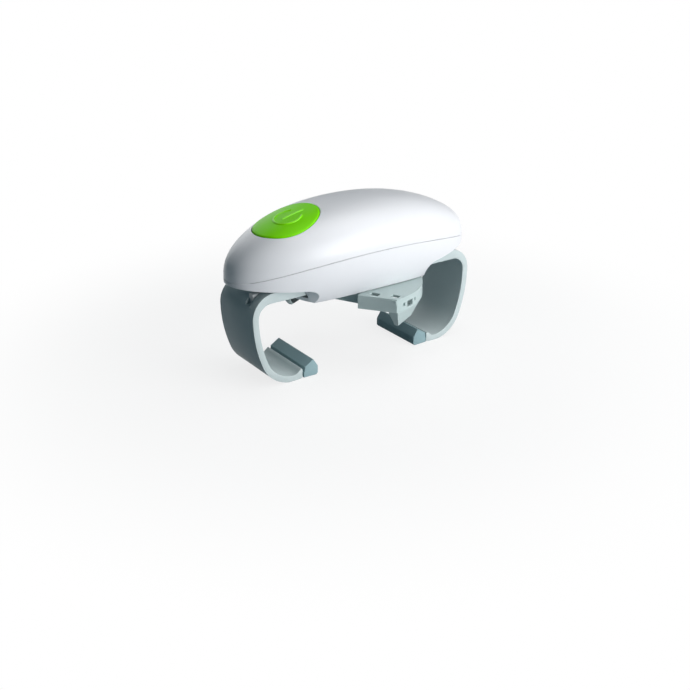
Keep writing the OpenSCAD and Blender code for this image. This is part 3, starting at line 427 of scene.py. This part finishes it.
lower = {
    "rim": [(-0.8, 0.0), (-0.3, 0.25)], "rimHeight": 1.2,  # the belly's rounded lower edge
    "sweepEnd": 92, "sweepSteps": 14, "bandLow": 75.4, "bandSlope": 0.12,
    "channelHalf": 25.8, "channelStart": 46.0, "channelEnd": 86.0, "channelLow": 65.2,
    "channelTop": 79.0, "roof": 1.6, "roofRise": 4,
    "opening": 27.4, "openingBelow": 2, "openingAbove": 1,
    "posts": [(-64, 30.2), (-64, -30.2), (64, 30.2), (64, -30.2)],
    "recess": 2.9, "recessLow": 50, "recessTop": 82.0,
    "far": 150, "deep": 20,  # a radius and a height that lie outside the body
}


def buildLowerShell():
    radius, sweep, low, wall = body["bellyRadius"], body["sweep"], body["bellyZ"], body["wall"]
    far, deep = lower["far"], lower["deep"]
    rim = [(radius + x, low + z) for x, z in lower["rim"]]
    curve = arcPoints(radius + sweep, low + lower["rimHeight"], sweep, 180, lower["sweepEnd"],
                      lower["sweepSteps"])
    end = (far, lower["bandLow"] + lower["bandSlope"] * (far - radius - sweep))
    under = [(0, deep), (0, low), *rim, *curve, end, (far, deep), (0, deep)]
    roof = lower["channelTop"] + lower["roof"]
    floor = [(0, deep), (0, low + wall), (radius - wall, low + wall), (radius - wall, roof),
             (far, roof + lower["roofRise"]), (far, deep), (0, deep)]
    shift = -body["seam"] / 2
    outer = boolean(closeRim(bodyHalf(-1, 0.0, shift)), lathe(under))
    inner = boolean(bodyHollow(-1, shift), lathe(floor))
    bm = boolean(outer, inner)
    tools = rodMesh(lower["opening"], low - lower["openingBelow"],
                    low + wall + lower["openingAbove"])
    for side in (-1, 1):
        ends = sorted((side * lower["channelStart"], side * lower["channelEnd"]))
        join(tools, boxMesh((ends[0], -lower["channelHalf"], lower["channelLow"]),
                            (ends[1], lower["channelHalf"], lower["channelTop"])))
    for post in lower["posts"]:
        join(tools, rodMesh(lower["recess"], lower["recessLow"], lower["recessTop"], at=post,
                            steps=32))
    bm = boolean(bm, tools)
    finishPiece("lower_shell_skin", bm, whiteAbs, "housing", ["lower_shell"])


buildUpperShell()
buildBatteryDoor()
buildLowerShell()
print("shells made")


# the start button, with its symbol and spring

def onDome(bm, lift):  # lays a flat piece, drawn about z = 0, on the dome
    for vert in bm.verts:
        vert.co.z += domeZ(vert.co.x, vert.co.y) + lift


def buildButton():
    # The cap is turned as a disc of radius 1, from its middle over the rounded edge to its foot.
    edge = button["edge"] / (button["width"] / 2)
    flat = [(i / button["rings"] * (1 - edge), 0.0) for i in range(button["rings"] + 1)]
    turns = [math.radians(d) for d in range(button["edgeStep"], 90 + 1, button["edgeStep"])]
    rounded = [(1 - edge + edge * math.sin(a), button["edge"] * (math.cos(a) - 1)) for a in turns]
    profile = flat + rounded + [(1.0, -button["depth"]), (0.0, -button["depth"])]
    bm = lathe(profile, steps=120)
    bmesh.ops.scale(bm, vec=(button["length"] / 2, button["width"] / 2, 1), verts=bm.verts)
    move(bm, button["centre"], 0, 0)
    onDome(bm, button["proud"])
    finishPiece("start_button_cap", bm, greenAbs, "button", ["start_button"])


def raisedLine(points, width, rise):  # a low rounded line along a path of plan points
    curve = bpy.data.curves.new("line", "CURVE")
    curve.dimensions = "3D"
    curve.bevel_depth = width
    curve.bevel_resolution = 4
    curve.use_fill_caps = True
    spline = curve.splines.new("POLY")
    spline.points.add(len(points) - 1)
    for point, (x, y) in zip(spline.points, points):
        point.co = (x, y, 0, 1)
    holder = bpy.data.objects.new("line", curve)
    bpy.context.scene.collection.objects.link(holder)
    bm = meshOf(holder)
    bmesh.ops.scale(bm, vec=(1, 1, rise / width), verts=bm.verts)
    return bm


def buildPowerSymbol():  # open ring with a bar through the gap, which faces +X
    cx, cy = button["symbolCentre"]
    radius, width, rise = button["symbolRadius"], button["symbolWidth"], button["symbolRise"]
    opening, steps = button["symbolOpening"], button["barSteps"]
    ring = [(cx + radius * math.cos(math.radians(a)), cy + radius * math.sin(math.radians(a)))
            for a in range(opening, 360 - opening + 1, button["symbolStep"])]
    bar = [(cx + button["barStart"] + button["barLength"] * i / steps, cy)
           for i in range(steps + 1)]
    bm = join(raisedLine(ring, width, rise), raisedLine(bar, width, rise))
    onDome(bm, button["proud"])
    finishPiece("power_symbol", bm, symbolAbs, "button")


def buildButtonSpring():  # the coil rides with the housing, and its foot stays on the board
    coil = finishPiece("button_spring_coil", cadCopy("button_spring"), springSteel, "housing",
                       ["button_spring"])
    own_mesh(coil)


buildButton()
buildPowerSymbol()
buildButtonSpring()
print("start button made")


# the two arms and their pads

arm = {
    "half": 25.0, "thickness": 5.0, "reach": 103.2, "start": 54.5, "round": 1.0,
    "shoulder": 18.5, "side": 105.0, "foot": 29.0,  # outer radii from the top down
    "shoulderSteps": 20, "sideSteps": 16, "footSteps": 26, "insideSteps": 14,
    "sideApart": 1, "footApart": 3,  # degrees that keep the ends of two arcs apart
    "strapLow": 68.0, "strapTop": 72.5, "flangeTop": 75.8, "flange": 3.5,
    "footTip": 60.9, "sink": 0.35,
    "toe": [(0.0, 7.7), (0.6, 8.5), (1.5, 8.3), (3.0, 6.9), (4.6, 5.6)],
    "tongue": (10.1, 20.0, 69.8), "tongueEnd": -9.0, "tongueLap": 0.5, "tongueDrop": 0.02,
    "notch": (92.0, 9.6, 16.5, 65.8), "pocket": 8.0, "pocketEnd": 89.0,
    "cutBefore": 2, "cutEnd": 120, "cutTop": 90,  # cuts run out past the strap
}


def armProfile():  # from the top of the strap round the outside to the toe, and back inside
    a = arm
    apart = a["footApart"]
    shoulderZ = a["flangeTop"] - a["shoulder"]
    drop = shoulderZ - a["foot"] + a["sink"]
    sideAngle = math.degrees(math.asin(drop / (a["side"] - a["foot"])))
    sideX = a["reach"] - a["side"]
    footX = sideX + (a["side"] - a["foot"]) * math.cos(math.radians(sideAngle))
    footZ = a["foot"] - a["sink"]
    tipAngle = -90 - math.degrees(math.asin((footX - a["footTip"]) / a["foot"]))
    inside = a["strapLow"] - shoulderZ
    outer = arcPoints(a["reach"] - a["shoulder"], shoulderZ, a["shoulder"], 90, 0,
                      a["shoulderSteps"])
    outer += arcPoints(sideX, shoulderZ, a["side"], -a["sideApart"], -sideAngle, a["sideSteps"])
    outer += arcPoints(footX, footZ, a["foot"], -sideAngle - apart, tipAngle, a["footSteps"])
    inner = [(a["footTip"] + x, z) for x, z in a["toe"]]
    inner += arcPoints(footX, footZ, a["foot"] - a["thickness"], -90 - apart,
                       -sideAngle - apart, a["footSteps"])
    inner += arcPoints(sideX, shoulderZ, a["side"] - a["thickness"], -sideAngle,
                       -a["sideApart"], a["sideSteps"])
    inner += arcPoints(a["reach"] - a["thickness"] - inside, shoulderZ, inside, 0, 90,
                       a["insideSteps"])
    outline = [(a["start"], a["flangeTop"])] + outer + inner + [(a["start"], a["strapLow"])]
    return [(x, max(z, 0.0)) for x, z in outline]


def buildArm(name, heading, bodyName, node):
    a = arm
    bm = prism(armProfile(), -a["half"], a["half"])
    inset, start, top = a["half"] - a["flange"], a["start"] - a["cutBefore"], a["strapTop"]
    notchX, notchLow, notchHigh, notchZ = a["notch"]
    cuts = [(start, a["pocketEnd"], -inset, -a["pocket"], top),
            (start, a["pocketEnd"], a["pocket"], inset, top),
            (start, a["cutEnd"], notchLow, notchHigh, top),
            (notchX, a["cutEnd"], notchLow, notchHigh, notchZ)]
    for x0, x1, y0, y1, z in cuts:
        bm = boolean(bm, boxMesh((x0, y0, z), (x1, y1, a["cutTop"])))
    roundEdges(bm, a["round"], segments=3, above=50)
    y0, y1, z = a["tongue"]
    join(bm, boxMesh((a["tongueEnd"], y0, z),
                     (a["start"] + a["tongueLap"], y1, top - a["tongueDrop"])))
    if heading:
        turn(bm, heading)
    finishPiece(name, bm, armNylon, bodyName, [node])


buildArm("left_arm_hook", 180, "left_hook", "left_arm")
buildArm("right_arm_hook", 0, "right_hook", "right_arm")

pad = {
    "outline": [(47.0, 1.8), (47.0, 7.5), (51.2, 13.9), (59.1, 9.1), (59.3, 5.0), (60.0, 4.6),
                (60.0, 0.4), (48.4, 0.2)],
    "half": 25.6, "round": 1.1,
    "pegs": 15.0, "pegRadius": 1.2, "pegX": 59, "pegZ": 3.0, "pegLength": 7,
}


def buildPad(name, heading, bodyName, node):
    bm = prism(pad["outline"], -pad["half"], pad["half"])
    roundEdges(bm, pad["round"], segments=4, above=20)
    for y in (-pad["pegs"], pad["pegs"]):
        peg = turn(rodMesh(pad["pegRadius"], 0, pad["pegLength"], steps=24), 90, "Y")
        join(bm, move(peg, pad["pegX"], y, pad["pegZ"]))
    if heading:
        turn(bm, heading)
    finishPiece(name, bm, padRubber, bodyName, [node])


buildPad("left_jar_pad", 180, "left_hook", "left_pad")
buildPad("right_jar_pad", 0, "right_hook", "right_pad")
print("arms made")


# the two jaws and the carriage

jaw = {
    "heading": -62.5, "edge": 0.55, "radius": 59.0,
    "fill": ((45.5, 14.4, 59.5), (54.0, 20.6, 61.5)),  # the outer slot that the photo doesn't show
    "ear": [(23.0, 27.0), (40.0, 22.0), (53.3, 22.0), (53.4, 25.0), (52.0, 27.8), (50.6, 30.3),
            (48.0, 33.6), (23.0, 33.6)],  # the plate's wider corner
    "earLow": 59.5, "earHigh": 61.5,
    "marks": [(-17.6, -15.2), (-2.6, -0.6)], "markLow": 54.2, "markHigh": 57.0, "markDepth": 1.2,
    "markEnd": 70,  # a mark's cut runs out past the front
}


def buildLidJaw(name, heading, bodyName, node):
    bm = turn(cadCopy(node), -heading)
    bm = boolean(bm, boxMesh(*jaw["fill"]), "UNION")
    bm = boolean(bm, prism(jaw["ear"], jaw["earLow"], jaw["earHigh"], "XY"), "UNION")
    for low, high in jaw["marks"]:
        face = math.sqrt(jaw["radius"] ** 2 - max(low ** 2, high ** 2)) - jaw["markDepth"]
        bm = boolean(bm, boxMesh((face, low, jaw["markLow"]),
                                 (jaw["markEnd"], high, jaw["markHigh"])))
    roundEdges(simplify(bm), jaw["edge"], segments=2, above=40)
    turn(bm, heading)
    finishPiece(name, bm, jawNylon, bodyName, [node])


buildLidJaw("near_lid_jaw_moulding", jaw["heading"], "near_jaw", "near_lid_jaw")
buildLidJaw("far_lid_jaw_moulding", jaw["heading"] + 180, "far_jaw", "far_lid_jaw")

carriage = {"edge": 0.3}


def buildSoftCopy(node):  # a CAD node with its edges rounded
    bm = roundEdges(cadCopy(node), carriage["edge"], segments=2, above=40)
    finishPiece(node + "_moulding", bm, jawNylon, "carriage", [node])


buildSoftCopy("jaw_guide_cover")
buildSoftCopy("turntable")
print("jaws made")


# CAD nodes that keep their shape and get a finish

keptFinish = {
    rackAcetal: ["left_rack", "right_rack", "near_jaw_rack", "far_jaw_rack"],
    jawNylon: ["jaw_guide"],
    gripRubber: ["near_jaw_grip", "far_jaw_grip"],
    gearAcetal: ["first_gear", "second_gear", "sun_gear", "planet_gear_1", "planet_gear_2",
                 "planet_gear_3", "jaw_pinion"],
    chassisAbs: ["ring_gear", "gearbox_base", "gearbox_plate", "gearbox_cover", "battery_tray",
                 "arm_pinion"],
    steel: ["motor", "gear_pins", "planet_carrier", "retaining_ring", "gearbox_screws",
            "board_screws", "guide_screws", "housing_screws"],
    springSteel: ["battery_contacts"],
    brass: ["motor_pinion", "turntable_bush"],
    switchNylon: ["switch_body", "switch_plunger"],
    boardLaminate: ["circuit_board"],
    cellFilm: ["battery_cells"],
}

for material, names in keptFinish.items():
    for name in names:
        kept = nodes[name]
        for slotNumber in range(len(kept.material_slots)):
            kept.material_slots[slotNumber].material = material
        if not kept.material_slots:
            kept.data.materials.append(material)
print("kept nodes finished")


# floor, world, lamps and camera, all in metres

stage = {
    "floor": 12.0, "floorZ": -0.0001, "floorColour": "#FFFFFF", "bounceColour": "#5A727C",
    "roughness": 0.9, "selfLight": 0.80, "fadeStart": 0.14, "fadeEnd": 0.36,
    "world": 0.07, "worldColour": "#78C2DC", "backdropColour": "#FFFFFF",
}


def buildFloor():  # white paper that glows for the camera, and more so away from the object
    bm = bmesh.new()
    bmesh.ops.create_grid(bm, x_segments=2, y_segments=2, size=stage["floor"] / 2)
    floor = newObject("floor", move(bm, 0, 0, stage["floorZ"]))
    made = bpy.data.materials.new("floor_paper")
    made.use_nodes = True
    tree = made.node_tree
    rays = addNode(tree, "ShaderNodeLightPath", (-1000, -200))
    paper = addNode(tree, "ShaderNodeMixRGB", (-400, 200),
                    {"Color1": hexColour(stage["bounceColour"]),
                     "Color2": hexColour(stage["floorColour"])}, {"Fac": rays["Is Camera Ray"]})
    shader = tree.nodes["Principled BSDF"]
    setNode(tree, shader, {"Roughness": stage["roughness"], "Specular IOR Level": 0.0},
            {"Base Color": paper["Color"]})
    place = addNode(tree, "ShaderNodeTexCoord", (-1200, -500))
    away = addNode(tree, "ShaderNodeVectorMath", (-1000, -500), {"operation": "LENGTH"},
                   {0: place["Object"]})
    fade = addNode(tree, "ShaderNodeMapRange", (-800, -500),
                   {"interpolation_type": "SMOOTHSTEP", "From Min": stage["fadeStart"],
                    "From Max": stage["fadeEnd"], "To Min": stage["selfLight"]},
                   {"Value": away["Value"]})
    seen = addNode(tree, "ShaderNodeMath", (-600, -200), {"operation": "ADD", "use_clamp": True},
                   {0: rays["Is Camera Ray"], 1: rays["Is Glossy Ray"]})
    share = addNode(tree, "ShaderNodeMath", (-400, -200), {"operation": "MULTIPLY"},
                    {0: seen[0], 1: fade["Result"]})
    glow = addNode(tree, "ShaderNodeEmission", (-200, -300), {"Strength": 1.0})
    mix = addNode(tree, "ShaderNodeMixShader", (300, 0), {},
                  {"Fac": share[0], 1: shader.outputs["BSDF"], 2: glow["Emission"]})
    setNode(tree, tree.nodes["Material Output"], {}, {"Surface": mix["Shader"]})
    floor.data.materials.append(made)


def buildWorld():  # a dim sky for the object, and a white backdrop for the camera
    world = bpy.data.worlds.new("studio")
    bpy.context.scene.world = world
    world.use_nodes = True
    tree = world.node_tree
    sky = tree.nodes["Background"]
    setNode(tree, sky, {"Color": hexColour(stage["worldColour"]), "Strength": stage["world"]}, {})
    backdrop = addNode(tree, "ShaderNodeBackground", (0, -200),
                       {"Color": hexColour(stage["backdropColour"]), "Strength": 1.0})
    rays = addNode(tree, "ShaderNodeLightPath", (-400, 200))
    mix = addNode(tree, "ShaderNodeMixShader", (300, 0), {},
                  {"Fac": rays["Is Camera Ray"], 1: sky.outputs["Background"],
                   2: backdrop["Background"]})
    setNode(tree, tree.nodes["World Output"], {}, {"Surface": mix["Shader"]})


lampTarget = (0, 0, 0.08)
lamps = {  # square lamps, with their size in metres and power in watts
    "key": {"at": (0.45, -1.06, 0.18), "size": 1.35, "power": 20.5},
    "top": {"at": (0.2, -0.1, 1.1), "size": 0.9, "power": 4.6},
    "back": {"at": (0.1, 1.2, 0.5), "size": 0.8, "power": 4.0},
    "low": {"at": (0.16, -0.72, 0.05), "size": 0.3, "power": 2.0},
}


def buildLamps():
    for name, values in lamps.items():
        data = bpy.data.lights.new(name, "AREA")
        data.size = values["size"]
        data.energy = values["power"]
        lamp = bpy.data.objects.new(name, data)
        bpy.context.scene.collection.objects.link(lamp)
        lamp.location = values["at"]
        lamp.visible_camera = False
        aim = Vector(lampTarget) - lamp.location
        lamp.rotation_euler = aim.to_track_quat("-Z", "Y").to_euler()


camera = {  # fitted to the photo, in degrees, metres and pixels
    "azimuth": 34.88, "elevation": 19.29, "distance": 0.8865, "target": (0, 0, 0.0825),
    "focalPixels": 1115.2, "image": 690, "offset": (3.78, -91.14), "sensor": 36,
    "clip": (0.01, 20),
}


def buildCamera():
    c = camera
    data = bpy.data.cameras.new("photo camera")
    data.sensor_width = c["sensor"]
    data.lens = c["focalPixels"] / c["image"] * data.sensor_width
    data.shift_x = -c["offset"][0] / c["image"]
    data.shift_y = c["offset"][1] / c["image"]
    data.clip_start, data.clip_end = c["clip"]
    made = bpy.data.objects.new("photo camera", data)
    bpy.context.scene.collection.objects.link(made)
    heading, lift = math.radians(c["azimuth"]), math.radians(c["elevation"])
    back = Vector((-math.sin(heading) * math.cos(lift), -math.cos(heading) * math.cos(lift),
                   math.sin(lift)))
    made.location = Vector(c["target"]) + back * c["distance"]
    made.rotation_euler = (-back).to_track_quat("-Z", "Y").to_euler()
    bpy.context.scene.camera = made


buildFloor()
buildWorld()
buildLamps()
buildCamera()
bpy.context.scene.view_settings.view_transform = "Standard"
print("stage made")
